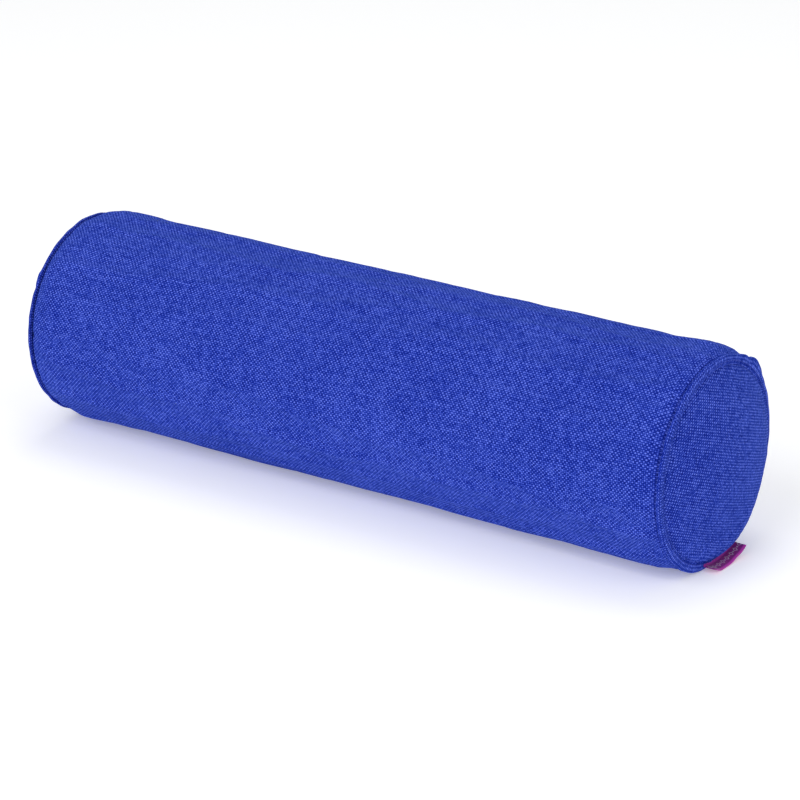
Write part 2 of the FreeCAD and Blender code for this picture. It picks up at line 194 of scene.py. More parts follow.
def resample(points, where, axis, periodic=False):
    """Smooth values of a grid at fractional places along one of its axes."""
    count = points.shape[axis]
    base = np.floor(where).astype(int)
    t = where - base
    weights = (
        -0.5 * t + t**2 - 0.5 * t**3,
        1 - 2.5 * t**2 + 1.5 * t**3,
        0.5 * t + 2 * t**2 - 1.5 * t**3,
        -0.5 * t**2 + 0.5 * t**3,
    )
    shape = [1] * points.ndim
    shape[axis] = len(where)
    out = 0
    for k, weight in enumerate(weights, -1):
        index = (base + k) % count if periodic else np.clip(base + k, 0, count - 1)
        out = out + np.take(points, index, axis=axis) * weight.reshape(shape)
    return out


def ramp(start, stop, step):
    """Evenly spaced values from start to stop, both ends included, about a step apart."""
    return np.linspace(start, stop, max(2, round(abs(stop - start) / step) + 1))


# Mesh helpers
def add_object(name, data):
    obj = bpy.data.objects.new(name, data)
    bpy.context.scene.collection.objects.link(obj)
    return obj


def new_object(name, vertices, faces, corner_uv=None):
    mesh = bpy.data.meshes.new(name)
    faces = faces.tolist() if isinstance(faces, np.ndarray) else faces
    mesh.from_pydata(np.asarray(vertices, float).reshape(-1, 3).tolist(), [], faces)
    if corner_uv is not None:
        layer = mesh.uv_layers.new(name="cloth")
        layer.data.foreach_set("uv", np.asarray(corner_uv, np.float32).ravel())
    mesh.polygons.foreach_set("use_smooth", np.ones(len(mesh.polygons), bool))
    return add_object(name, mesh)


def grid_faces(rows, columns, wrap_rows=False, wrap_columns=False, keep=None):
    """Faces of a grid of points, and for each corner its row and column, not wrapped."""
    r = np.arange(rows if wrap_rows else rows - 1)
    c = np.arange(columns if wrap_columns else columns - 1)
    r, c = (a.ravel() for a in np.meshgrid(r, c, indexing="ij"))
    if keep is not None:
        chosen = keep(r, c)
        r, c = r[chosen], c[chosen]
    corners = np.stack([np.stack([r + dr, c + dc], -1) for dr, dc in ((0, 0), (0, 1), (1, 1), (1, 0))], 1)
    index = (corners[..., 0] % rows) * columns + corners[..., 1] % columns
    return index, corners


def normals_of(grid, wrap_columns=False):
    """Unit normals of a grid of points."""
    along = np.gradient(grid, axis=0)
    across = np.roll(grid, -1, 1) - np.roll(grid, 1, 1) if wrap_columns else np.gradient(grid, axis=1)
    return unit(np.cross(along, across))


@contextlib.contextmanager
def editing(mesh):
    bm = bmesh.new()
    bm.from_mesh(mesh)
    yield bm
    bm.to_mesh(mesh)
    bm.free()


def cleaned(obj):
    """Merges doubled points, drops loose ones and turns every face outwards."""
    with editing(obj.data) as bm:
        bmesh.ops.remove_doubles(bm, verts=bm.verts, dist=1e-7)
        bmesh.ops.delete(bm, geom=[v for v in bm.verts if not v.link_faces], context="VERTS")
        bmesh.ops.recalc_face_normals(bm, faces=bm.faces)
    return obj


def flat_grid(rows, columns):
    """Where a grid's points are in the flat cloth, from the flat place of each row and column."""
    return np.stack(np.meshgrid(rows, columns, indexing="ij"), -1)


def shell(name, outer, inner, flat, wrap=False, keep=None):
    """Closed piece between two grids that wrap in columns if asked, joined along their free edges."""
    rows, columns = outer.shape[:2]
    face, corner = grid_faces(rows, columns, wrap_columns=wrap, keep=keep)
    points = np.concatenate([outer.reshape(-1, 3), inner.reshape(-1, 3)])
    offset = rows * columns
    edges = {}
    for quad, places in zip(face.tolist(), corner.tolist()):
        for k in range(4):
            a, b = quad[k], quad[(k + 1) % 4]
            if edges.pop((b, a), None) is None:
                edges[(a, b)] = (places[k], places[(k + 1) % 4])
    rim = np.array([[a, a + offset, b + offset, b] for a, b in edges])
    rim_corner = np.array([[p, p, q, q] for p, q in edges.values()])
    faces = np.concatenate([face, face[:, ::-1] + offset, rim])
    corners = np.concatenate([corner, corner[:, ::-1], rim_corner])
    return cleaned(new_object(name, points, faces, flat[corners[..., 0], corners[..., 1]]))


def tube(path, across, up, width, height):
    """Thread or wire along a path: a six-sided oval section across and up from each point."""
    angle = np.arange(6) * TURN / 6
    width, height = (np.broadcast_to(v, len(path))[:, None, None] for v in (width, height))
    ring = path[:, None] + across[:, None] * np.cos(angle)[None, :, None] * width
    ring = ring + up[:, None] * np.sin(angle)[None, :, None] * height
    face, corner = grid_faces(len(path), 6, wrap_columns=True)
    return ring.reshape(-1, 3), face, corner


def piece(obj, node, material, body="bolster"):
    """What every piece needs: its body, the CAD node it stands for and its material."""
    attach(obj, body)
    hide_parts(node)
    obj.data.materials.clear()
    obj.data.materials.append(material)
    return obj


# The stuffed skin: cloth simulation
def shoulder_radius(x):
    """Radius of the cover's barrel at a place along it."""
    bend = (SHOULDER_LENGTH**2 + SHOULDER_DROP**2) / (2 * SHOULDER_DROP)
    past = np.clip(np.abs(x) - (BARREL_END - SHOULDER_LENGTH), 0, SHOULDER_LENGTH)
    return RADIUS - bend + np.sqrt(bend**2 - past**2)


def facing_lean(angle):
    """1 on the side where the right-hand welt leans back most, 0 on the other side."""
    return (0.5 + 0.5 * np.cos(angle - WELT_LEAN)) ** 1.2


def low_side(angle):
    """1 at the side of the ends that sags most, 0 away from it."""
    return bell(wrapped(angle - SAG, TURN), math.radians(48))


def bulge(share, angle):
    """How much further each end stands out where it sags under the weight of the fill."""
    return 4.6 * MM * low_side(angle) * bell(share - 0.87, 0.12) * smoothstep(1.0, 0.955, share)


def end_points(side, share, angle, rise):
    """The end panel: share is 0 at its tip and 1 at its seam. On one side it swells out over the seam."""
    lean = facing_lean(angle)
    swell = 2.2 * MM * bell(share - 0.965, 0.035) * smoothstep(1.0, 0.98, share)
    x = RIM_X + rise * np.clip(1 - share**2, 0, 1) ** (0.93 - 0.2 * lean) + bulge(share, angle)
    return ring_point(side * x, share * RIM + swell * (0.05 + 0.95 * lean + 0.5 * low_side(angle)), angle)


def disc_grid(cells=ACROSS_END):
    """Square grid mapped to a unit disc: radius and angle of each of its points."""
    a, b = np.meshgrid(np.linspace(-1, 1, cells + 1), np.linspace(-1, 1, cells + 1), indexing="ij")
    wide = np.abs(a) >= np.abs(b)
    radius = np.where(wide, a, b)
    long_side = np.where(radius == 0, 1.0, radius)
    angle = math.pi / 4 * np.where(wide, b, a) / long_side
    angle = np.where(wide, angle, math.pi / 2 - angle)
    angle = np.where(radius < 0, angle + math.pi, angle)
    return np.abs(radius), angle % TURN


def skin_grids(rise, slack=0.0):
    """Grids of the closed skin: round the barrel and over each end. Slack widens it beside the seams."""
    x = np.linspace(-BARREL_END, BARREL_END, ALONG + 1)
    angle = np.arange(AROUND) * TURN / AROUND
    radius = shoulder_radius(x) * (1 + slack * np.exp(-(BARREL_END - np.abs(x)) / (12 * MM)))
    barrel = ring_point(x[:, None], radius[:, None], angle[None, :])
    return barrel, [end_points(side, *disc_grid(), rise) for side in (-1, 1)]


def skin_faces():
    """Faces that join the three grids into one closed mesh, and which points its seams hold."""
    faces, _ = grid_faces(ALONG + 1, AROUND, wrap_columns=True)
    faces, held = [faces], [np.zeros((ALONG + 1, AROUND), bool)]
    held[0][[0, -1]] = True
    start, size = (ALONG + 1) * AROUND, ACROSS_END + 1
    radius, angle = disc_grid()
    edge = np.argwhere(radius > 1 - 1e-9)
    edge = edge[np.argsort([round(angle[i, j] * AROUND / TURN) % AROUND for i, j in edge])]
    for seam_row in (0, ALONG):
        face, _ = grid_faces(size, size)
        ring = start + edge[:, 0] * size + edge[:, 1]
        seam = seam_row * AROUND + np.arange(AROUND)
        faces += [face + start, np.stack([seam, np.roll(seam, -1), np.roll(ring, -1), ring], 1)]
        held.append(radius > 1 - 1e-9)
        start += size * size
    return np.concatenate(faces), np.concatenate([h.ravel() for h in held])


def joined(barrel, discs):
    return np.concatenate([barrel.reshape(-1, 3)] + [d.reshape(-1, 3) for d in discs])


def inflated(obj):
    """Points of a closed mesh after its cloth has been blown up for a while."""
    cloth = obj.modifiers.new("cloth", "CLOTH")
    settings = cloth.settings
    settings.rest_shape_key = obj.data.shape_keys.key_blocks["relaxed"]
    settings.vertex_group_mass = "seams"
    settings.quality = 5
    settings.mass = 0.3
    settings.tension_stiffness = settings.compression_stiffness = 30
    settings.shear_stiffness = 12
    settings.bending_stiffness = 0.4
    settings.use_pressure = True
    settings.uniform_pressure_force = 4.0
    settings.effector_weights.gravity = 0.0
    cloth.point_cache.frame_start, cloth.point_cache.frame_end = 1, SIM_FRAMES
    for step in range(1, SIM_FRAMES + 1):
        bpy.context.scene.frame_set(step)
    stuffed = obj.evaluated_get(bpy.context.evaluated_depsgraph_get()).data
    points = np.empty(len(stuffed.vertices) * 3)
    stuffed.vertices.foreach_get("co", points)
    bpy.context.scene.frame_set(1)
    bpy.data.objects.remove(obj)
    return points.reshape(-1, 3)


def stuffed_skin():
    """The cover's outer face, stuffed tight: a grid round the barrel and one over each end."""
    plain = skin_grids(END_RISE)
    start, faces, held = joined(*skin_grids(END_RISE - 1.2 * MM)), *skin_faces()
    draw = np.random.default_rng(3)
    obj = new_object("skin", start + draw.normal(0, 0.05 * MM, start.shape) * ~held[:, None], faces)
    obj.shape_key_add(name="Basis")
    cut = joined(*skin_grids(END_RISE - 1.2 * MM, slack=0.022))
    obj.shape_key_add(name="relaxed").data.foreach_set("co", cut.ravel())
    obj.vertex_groups.new(name="seams").add(np.flatnonzero(held).tolist(), 1.0, "REPLACE")
    offset = inflated(obj) - joined(*plain)
    length = np.linalg.norm(offset, axis=1, keepdims=True)
    moved = joined(*plain) + offset * np.minimum(1, 3 * MM / np.maximum(length, 1e-9))
    barrel, left, right = np.split(moved, np.cumsum([plain[0].size // 3, plain[1][0].size // 3]))
    return barrel.reshape(plain[0].shape), [d.reshape(plain[1][0].shape) for d in (left, right)]


SKIN_BARREL, SKIN_ENDS = stuffed_skin()


def finer_end(grid, cells):
    """An end's grid with more or fewer cells across."""
    where = np.linspace(0, ACROSS_END, cells + 1)
    return resample(resample(grid, where, 0), where, 1)


# Folds of the cloth beside the seams
def puckers(seed, period, spacing, depth, width, length):
    """Small folds across a seam. Returns depth at a place along the seam and a distance from it."""
    draw = np.random.default_rng(seed)
    count = int(period / (sum(spacing) / 2))
    gaps = draw.uniform(*spacing, count)
    place = np.cumsum(gaps) * period / gaps.sum()
    deep = draw.uniform(*depth, count) * draw.choice([1, 1, 0.4], count)
    wide, long = draw.uniform(*width, count), draw.uniform(*length, count)
    lean = draw.normal(0, 0.18, count)

    def depth_at(s, distance):
        total = np.zeros(np.broadcast(s, distance).shape)
        for at, d, w, reach, tilt in zip(place, deep, wide, long, lean):
            beside = wrapped(s - at - tilt * distance, period)
            spread = w * (1 + distance / (1.5 * reach))
            total = total + d * bell(beside, spread) * np.exp(-distance / reach)
        return total

    return depth_at


BARREL_ROUND, RIM_ROUND = TURN * RADIUS, TURN * RIM
BARREL_FOLDS = (4 * MM, 9 * MM), (0.1 * MM, 0.5 * MM), (1.0 * MM, 2.0 * MM), (4 * MM, 13 * MM)
END_FOLDS = (3.5 * MM, 8 * MM), (0.05 * MM, 0.3 * MM), (0.8 * MM, 1.6 * MM), (2.5 * MM, 7 * MM)
BARREL_PUCKERS = {side: puckers(seed, BARREL_ROUND, *BARREL_FOLDS) for side, seed in ((-1, 11), (1, 12))}
END_PUCKERS = {side: puckers(seed, RIM_ROUND, *END_FOLDS) for side, seed in ((-1, 13), (1, 14))}


def lumps(x, s):
    """Slow unevenness of the husk under the cloth."""
    total = 0
    for seed, length, size in ((31, 190 * MM, 0.22 * MM), (32, 95 * MM, 0.14 * MM), (33, 52 * MM, 0.09 * MM)):
        draw = np.random.default_rng(seed)
        for _ in range(9):
            turns = draw.integers(1, max(2, int(BARREL_ROUND / length)) + 1)
            along = draw.normal(0, 1) * TURN / length
            phase = draw.uniform(0, TURN)
            total = total + size / 3 * np.cos(turns * s / RADIUS + along * x + phase)
    return total


# Cover: barrel panel
def fullness(x, s):
    """How far the stuffed cloth stands out from the simulated skin, fullest on the upper side."""
    gap = BARREL_END - np.abs(x)
    near, far = (np.where(x > 0, right, left) for right, left in zip(UPPER_SHOULDER[1], UPPER_SHOULDER[-1]))
    shoulder = near * smoothstep(50 * MM, 12 * MM, gap) + far * smoothstep(210 * MM, 60 * MM, gap)
    shoulder = shoulder * smoothstep(0.5 * MM, 9 * MM, gap)
    upper = smoothstep(-0.3, 0.5, outwards(s / RADIUS)[..., 2])
    return STUFFED + PUFF * smoothstep(2 * MM, 20 * MM, gap) + shoulder * upper


def barrel_skin(x, s):
    """The stuffed barrel at places along it and round it, kept to the plain cylinder beside the zip."""
    grid = resample(SKIN_BARREL, (x.ravel() + BARREL_END) / (2 * BARREL_END) * ALONG, 0)
    grid = resample(grid, s.ravel() / BARREL_ROUND * AROUND, 1, periodic=True)
    plain = ring_point(x, shoulder_radius(x), s / RADIUS)
    beside = np.abs(wrapped(s, BARREL_ROUND))
    free = np.maximum(smoothstep(14 * MM, 34 * MM, beside), smoothstep(208 * MM, 228 * MM, np.abs(x)))
    full = fullness(x, s)[..., None] * outwards(s / RADIUS)
    return plain + (grid - plain + full) * free[..., None], free


def barrel_columns():
    """Places along the barrel: close together beside the seams and at the slot's ends."""
    fine = np.array([0.0, 0.12, 0.35, 0.7, 1.2, 2.4]) * MM
    half = np.concatenate([
        ramp(0, SLOT_HALF_LENGTH - 2.4 * MM, 4.4 * MM),
        SLOT_HALF_LENGTH + fine,
        ramp(SLOT_HALF_LENGTH + 6 * MM, BARREL_END - 24 * MM, 3.4 * MM),
        BARREL_END - 24 * MM + 24 * MM * (ramp(0, 1, 1 / 20)[1:]) ** 0.85,
    ])
    return np.concatenate([-half[:0:-1], half])[:, None]


def barrel_rows():
    """Places round the barrel, from the zip's centre line, close together at the slot's edges."""
    near = SLOT_HALF_WIDTH + np.array([0.0, 0.12, 0.35, 0.7, 1.2, 1.9, 2.7, 3.7, 5.1]) * MM
    far = ramp(12 * MM, BARREL_ROUND - 12 * MM, 2.0 * MM)
    return np.concatenate([[0.0], near, far, (BARREL_ROUND - near)[::-1]])[None, :]


def slot_distance(x, s):
    """How far each point is outside the zip's slot; 0 inside it."""
    dx = np.clip(np.abs(x) - SLOT_HALF_LENGTH, 0, None)
    ds = np.clip(np.abs(wrapped(s, BARREL_ROUND)) - SLOT_HALF_WIDTH, 0, None)
    return np.hypot(dx, ds)


def creases(x, s):
    """How far the barrel's cloth is drawn in by the seams, beside the welts."""
    total = 1.7 * MM * bell(BARREL_END - np.abs(x), 1.3 * MM)
    for side, folds in BARREL_PUCKERS.items():
        gap = BARREL_END - side * x
        total = total + folds(s, gap) * smoothstep(70 * MM, 40 * MM, gap)
    for side, angle in TUCKS:
        beside = wrapped(s - angle * RADIUS, BARREL_ROUND)
        gap = BARREL_END - side * x
        total = total + 1.5 * MM * bell(beside, 2.0 * MM) * np.exp(-gap / (4 * MM)) * (gap < 60 * MM)
    return total


def cover_barrel(material):
    x, s = barrel_columns(), barrel_rows()
    base, free = barrel_skin(x, s)
    out = normals_of(base, wrap_columns=True)
    out = out * np.sign(np.sum(out[5, 5] * (base[5, 5] - CENTRE)))
    distance = slot_distance(x, s)
    fold = CLOTH - np.sqrt(np.clip(CLOTH**2 - np.clip(CLOTH - distance, 0, None) ** 2, 0, None))
    beside_stitch = distance - (STITCH_OFFSET - SLOT_HALF_WIDTH)
    raised = lumps(x, s) * free - creases(x, s)
    raised = raised - 0.16 * MM * bell(beside_stitch, 0.9 * MM) * (distance < 6 * MM)
    doubled = smoothstep(HEM_REACH + 4 * MM, HEM_REACH, distance)
    depth = CLOTH * (1 + doubled) - np.where(distance < CLOTH, fold, 0)
    outer = on_floor(base + out * (raised - fold)[..., None])
    inner = on_floor(base + out * (raised - depth)[..., None])
    inner[..., 2] = np.maximum(inner[..., 2], np.minimum(outer[..., 2] + 0.6 * CLOTH, inner[..., 2] + CLOTH))

    for row in (0, -1):  # the seam allowance turns in behind the welt
        turned_in = X_AXIS * np.sign(x[row]) * 1.0 * MM - out[row] * 1.2 * MM
        outer[row] += turned_in
        inner[row] += turned_in

    x, round_s = x.ravel(), np.append(s, BARREL_ROUND)

    def keep(row, column):
        """Which of the grid's faces are not in the zip's slot."""
        mid_x = (x[row] + x[np.minimum(row + 1, len(x) - 1)]) / 2
        beside = np.abs(wrapped((round_s[column] + round_s[column + 1]) / 2, BARREL_ROUND))
        return (np.abs(mid_x) >= SLOT_HALF_LENGTH) | (beside >= SLOT_HALF_WIDTH)

    obj = shell("cover_barrel_cloth", outer, inner, flat_grid(x, round_s), True, keep)
    return piece(obj, "cover_barrel", material)


# Cover: end panels
def cover_end(side, material):
    """Domed end panel, with small folds where it is sewn in."""
    cells = 4 * ACROSS_END
    grid = finer_end(SKIN_ENDS[(side + 1) // 2], cells)
    out = normals_of(grid)
    out = out * np.sign(out[..., :1] * side)
    share, angle = disc_grid(cells)
    radius = share * RIM
    gap = RIM - radius
    y, z = np.moveaxis(on_disc(radius * 1.3, angle), -1, 0)
    raised = 0.35 * lumps(y + side, z)
    raised = raised - END_PUCKERS[side](angle * RIM, gap) * smoothstep(20 * MM, 12 * MM, gap)
    raised = raised - 0.5 * MM * bell(gap, 1.1 * MM)
    outer = grid + out * raised[..., None]
    name = "cover_end_" + SIDES[side]
    obj = shell(name + "_cloth", outer, outer - out * CLOTH, on_disc(radius * (1 + share**2 * 0.045), angle))
    return piece(obj, name, material)


# Cover: welts
def welt(side, material):
    """Folded bias strip, stood up in the end seam and nipped by each stitch near its root."""
    stitches = round(RIM_ROUND / STITCH_PITCH)
    around, section = 6 * stitches, 18
    angle = np.arange(around) * TURN / around
    corner = np.arange(section) * TURN / section
    run = angle * RIM
    seed = 40 + side
    taller = waves(seed, 9, 34, 14, RIM_ROUND)(run) * 0.22 * MM
    wander = waves(seed + 3, 7, 30, 14, RIM_ROUND)(run) * 0.30 * MM
    fatter = waves(seed + 6, 12, 60, 16, RIM_ROUND)(run) * 0.14 * MM
    join_height, join_half_length = (2.4 * MM, 10 * MM) if side > 0 else (0.9 * MM, 5 * MM)
    overlap = np.exp(-((wrapped(angle - WELT_JOIN[side], TURN) * RIM / join_half_length) ** 6))
    taller = taller + join_height * overlap
    fatter = fatter + 0.3 * MM * overlap
    leaning = facing_lean(angle)
    out = outwards(angle)
    standing = np.maximum(smoothstep(0.3, -0.6, out[:, 2]), smoothstep(0.3, 0.6, out[:, 1]))
    taller = taller - (1.4 * MM * (1 - standing) + 0.6 * MM * leaning if side > 0 else 1.6 * MM)
    nip = 0.5 + 0.5 * np.cos(angle * stitches)
    across, upright = signed_power(np.cos(corner), 0.5), signed_power(np.sin(corner), 0.85)
    thick = WELT_HALF_THICKNESS[side] + fatter[:, None] - 0.35 * MM * nip[:, None] * (upright[None, :] < 0)
    share = (upright[None, :] + 1) / 2
    back = 1.8 * MM * leaning[:, None] if side > 0 else 0.6 * MM
    x = side * (WELT_X + (wander[:, None] - back) * share + thick * across[None, :])
    radius = WELT_ROOT + (WELT_OUTER + 0.9 * MM - WELT_ROOT + taller[:, None]) * share
    ring = on_floor(ring_point(x, radius, angle[:, None]))
    face, place = grid_faces(around, section, wrap_rows=True, wrap_columns=True)
    u, v = place[..., 0] / around * RIM_ROUND * 1.05, place[..., 1] / section * 15 * MM
    uv = np.stack([u + v, u - v], -1) * math.sqrt(0.5)
    name = "edge_welt_" + SIDES[side]
    return piece(cleaned(new_object(name + "_cloth", ring, face, uv)), name, material)


# Stitching
def stitches(name, middles, along, up):
    """One stitch of thread at each place, its two ends drawn down into the cloth."""
    station = np.array([-0.5, -0.38, -0.14, 0.14, 0.38, 0.5])
    sink = np.array([-0.9, -0.2, 0.35, 0.35, -0.2, -0.9]) * THREAD
    girth = np.array([0.55, 0.95, 1.05, 1.05, 0.95, 0.55]) * THREAD
    side = unit(np.cross(up, along))
    points, faces, corners, start = [], [], [], 0
    for middle, a, u, w in zip(middles, along, up, side):
        path = middle + a * (station * STITCH_LENGTH)[:, None] + u * sink[:, None]
        ring, face, corner = tube(path, np.tile(w, (6, 1)), np.tile(u, (6, 1)), girth, girth)
        caps = [list(range(5, -1, -1)), list(range(len(ring) - 6, len(ring)))]
        points.append(ring)
        faces += [[start + k for k in corner_points] for corner_points in face.tolist() + caps]
        corners += (corner.astype(float) * [0.2, 1 / 6]).reshape(-1, 2).tolist() + [[0.0, 0.0]] * 12
        start += len(ring)
    return cleaned(new_object(name, np.concatenate(points), faces, corners))


def ring_stitches(name, x, radius, tilt, pitch=STITCH_PITCH):
    """A ring of stitches; tilt is how far each one faces along the bolster rather than outwards."""
    count = round(TURN * radius / pitch)
    draw = np.random.default_rng(51)
    angle = (np.arange(count) + draw.normal(0, 0.03, count)) * TURN / count
    out = outwards(angle)
    along = unit(np.cross(np.tile(X_AXIS, (count, 1)), out))
    along = unit(along + X_AXIS * draw.normal(0, 0.05, (count, 1)))
    up = unit(out * math.cos(tilt) + X_AXIS * math.sin(tilt))
    return stitches(name, ring_point(x, radius, angle), along, up)


def welt_stitching(side, material):
    name = "welt_stitching_" + SIDES[side]
    x = side * (WELT_X + WELT_HALF_THICKNESS[side] - 0.1 * MM)
    obj = ring_stitches(name + "_thread", x, RIM + 1.4 * MM, side * 1.3)
    return piece(obj, name, material)


def zip_stitching(material):
    """Rows of stitches along both sides of the zip, and across at each of its ends."""
    middles, along, up = [], [], []
    to_row = STITCH_OFFSET / RADIUS
    for angle in (-to_row, to_row):
        x = ramp(-STITCH_END + 1.5 * MM, STITCH_END - 1.5 * MM, STITCH_PITCH)
        middles.append(ring_point(x, RADIUS + 0.1 * MM, angle))
        along.append(np.tile(X_AXIS, (len(x), 1)))
        up.append(np.tile(outwards(angle), (len(x), 1)))
    for end in (-STITCH_END, STITCH_END):
        angle = ramp(-to_row + 1.5 * MM / RADIUS, to_row - 1.5 * MM / RADIUS, STITCH_PITCH / RADIUS)
        middles.append(ring_point(end, RADIUS + 0.1 * MM, angle))
        along.append(unit(np.cross(outwards(angle), np.tile(X_AXIS, (len(angle), 1)))))
        up.append(outwards(angle))
    obj = stitches("zip_stitching_thread", *(np.concatenate(a) for a in (middles, along, up)))
    return piece(obj, "zip_stitching", material)


# Labels
def side_label(material):
    """Folded ribbon in the right-hand seam. It runs out beside the welt, then bends to nearly level."""
    middle = np.array(label_low + label_high) / 2 - CENTRE
    centre_angle = math.atan2(middle @ LOWER, middle @ NORMAL) - LABEL_SHIFT
    s = np.linspace(-0.5, 0.5, 65)
    flutter = 0.45 * MM * np.sin(s * 7.5 + 0.6) + 0.2 * MM * np.sin(s * 19 + 2)
    flutter = flutter - 30 * MM * np.clip(np.abs(s) - 0.3, 0, 1) ** 2
    station = np.linspace(0, 1.2, 61)
    slope = LABEL_SPLAY + (math.radians(80) - LABEL_SPLAY) * smoothstep(0.40, 0.12, station)
    step = LABEL_REACH * (station[1] - station[0])
    curve_x = RIM_X + 0.6 * MM + np.cumsum(np.cos(slope)) * step
    curve_r = RIM - 0.5 * MM + np.cumsum(np.sin(slope)) * step

    def face_at(h):
        """One face of the ribbon, a distance of h from the middle of the fold."""
        flat, fold = np.linspace(0, 1, 13), np.radians(np.linspace(-90, 90, 9)[1:-1])
        t = np.concatenate([flat, 1 + h / LABEL_REACH * np.cos(fold), flat[::-1]])[None, :]
        height = np.concatenate([0 * flat - h, h * np.sin(fold), 0 * flat + h])[None, :]
        lift, lean = height + t**2 * flutter[:, None], np.interp(t, station, slope)
        x = np.interp(t, station, curve_x) - lift * np.sin(lean)
        radius = np.interp(t, station, curve_r) + lift * np.cos(lean)
        angle = centre_angle + s[:, None] * LABEL_WIDTH / (RIM + 2 * MM)
        return on_floor(ring_point(x, radius, angle), 0.3 * MM)

    outer, inner = face_at(LABEL_GAP + LABEL_THICKNESS), face_at(LABEL_GAP)
    length = np.linspace(0, 2 * LABEL_REACH, outer.shape[1])
    obj = shell("side_label_ribbon", outer, inner, flat_grid(s * LABEL_WIDTH, length))
    piece(obj, "side_label", material)
    return obj


def zip_side(x, y, height):
    """Points beside the zip: along it, across it (downwards) and out from the bolster's axis."""
    x, y, height = np.broadcast_arrays(x, y, height)
    out = y[..., None] * LOWER + height[..., None] * NORMAL + CENTRE
    out[..., 0] += x
    return out


def care_label(material):
    """Satin label on the inside of the cover, a little curled."""
    x = np.linspace(care_low.x, care_high.x, 31)
    y = np.linspace(6, 20, 15) * MM
    curl = 0.12 * MM * np.sin((x[:, None] - x[0]) * 260) * np.sin((y[None, :] - y[0]) * 200)
    base = ZIP_POCKET + 0.08 * MM + curl
    outer, inner = (zip_side(x[:, None], y[None, :], base + lift) for lift in (0.36 * MM, 0.16 * MM))
    obj = shell("care_label_satin", outer, inner, flat_grid(x, y))
    piece(obj, "care_label", material)
    return obj


# Zip
def tape(side, material):
    """Woven tape that follows the barrel under the hem, with rounded edges."""
    x = ramp(-tape_high.x, tape_high.x, 3.2 * MM)
    s = np.array([0, 0.1, 0.3, 0.6, 1.2, 2.0, 3.0, 4.0, 4.8, 5.6, 7, 9, 11, 13, 15]) * MM + TAPE_INNER_EDGE
    s = np.append(s, TAPE_OUTER_EDGE - np.array([0.3, 0.1, 0]) * MM)
    edge = np.minimum(s - s[0], s[-1] - s)
    rounding = np.clip(1 - np.clip(1 - edge / (0.3 * MM), 0, 1) ** 2, 0.02, 1)
    half = TAPE_THICKNESS / 2 * np.sqrt(rounding) * 0.96
    middle, angle = TAPE_FACE - TAPE_THICKNESS / 2, side * s / RADIUS
    outer, inner = (ring_point(x[:, None], radius, angle) for radius in (middle + half, middle - half))
    name = "zip_tape_" + TAPE_NAMES[side]
    obj = shell(name + "_woven", outer, inner, flat_grid(x, s))
    return piece(obj, name, material)


def coil(side, material):
    """Nylon monofilament wound into a flattened coil, its heads towards the zip's middle."""
    turns, per_turn = int(2 * coil_high.x / COIL_PITCH) - 1, 14
    t = np.arange(turns * per_turn + 1) / per_turn
    phase = TURN * t
    start = -coil_high.x + (0.75 if side > 0 else 1.4) * COIL_PITCH / 2
    head, tail = TAPE_INNER_EDGE + COIL_WIRE, COIL_OUTER_EDGE - COIL_WIRE
    across, rise = signed_power(np.cos(phase), 0.7), signed_power(np.sin(phase), 0.7)
    y = (head + tail) / 2 - (tail - head) / 2 * across
    height = TAPE_FACE + COIL_HEIGHT / 2 + (COIL_HEIGHT / 2 - COIL_WIRE) * rise
    x = start + COIL_PITCH * (t - 0.16 * np.sin(2 * phase) / math.pi)
    path = zip_side(x, side * y, height)
    forward = unit(np.gradient(path, axis=0))
    spoke = unit(path - zip_side(x, side * (head + tail) / 2, TAPE_FACE + COIL_HEIGHT / 2))
    across_wire = unit(np.cross(forward, spoke))
    spoke = np.cross(across_wire, forward)
    flattened = 1 + 0.3 * np.clip(across, 0, 1) ** 4
    ring, face, corner = tube(path, across_wire, spoke, COIL_WIRE * flattened, COIL_WIRE)
    name = "zip_coil_" + TAPE_NAMES[side]
    obj = new_object(name + "_nylon", ring, face, corner.astype(float) * [COIL_PITCH / per_turn, 1 / 6])
    with editing(obj.data) as bm:
        bmesh.ops.holes_fill(bm, edges=[e for e in bm.edges if e.is_boundary], sides=6)
        bmesh.ops.recalc_face_normals(bm, faces=bm.faces)
    return piece(obj, name, material)


def thin_wedge(bm):
    """Thins the slider between its plates, so the coils can meet. Returns the points it moved."""
    moved = set()
    for v in bm.verts:
        place = np.array(v.co) - CENTRE
        across, height = place @ LOWER, place @ NORMAL - TAPE_FACE
        if abs(across) < WEDGE_HALF_WIDTH + 0.05 * MM and -1.2 * MM < height < 2.4 * MM:
            v.co -= Vector(LOWER) * across * (1 - WEDGE_KEPT)
            moved.add(v)
    return moved


def rounded_copy(node, material, bevel, body="bolster"):
    """The CAD solid with its edges rounded off, as cast or pressed metal has them."""
    obj = add_object(node + "_metal", frame["nodes"][node].data.copy())
    with editing(obj.data) as bm:
        bmesh.ops.remove_doubles(bm, verts=bm.verts, dist=0.002 * MM)
        bmesh.ops.dissolve_limit(bm, angle_limit=math.radians(4), verts=bm.verts, edges=bm.edges)
        wedge = thin_wedge(bm) if node == "zip_slider" else set()
        sharp = [e for e in bm.edges if len(e.link_faces) == 2 and e.calc_face_angle(0) > math.radians(35)]
        sharp = [e for e in sharp if not set(e.verts) <= wedge]
        shape = {"offset": bevel, "segments": 3, "profile": 0.6, "affect": "EDGES", "clamp_overlap": True}
        bmesh.ops.bevel(bm, geom=sharp, **shape)
        bmesh.ops.triangulate(bm, faces=[f for f in bm.faces if len(f.verts) > 4])
    obj.data.polygons.foreach_set("use_smooth", np.ones(len(obj.data.polygons), bool))
    obj.data.set_sharp_from_angle(angle=math.radians(50))
    return piece(obj, node, material, body=body)


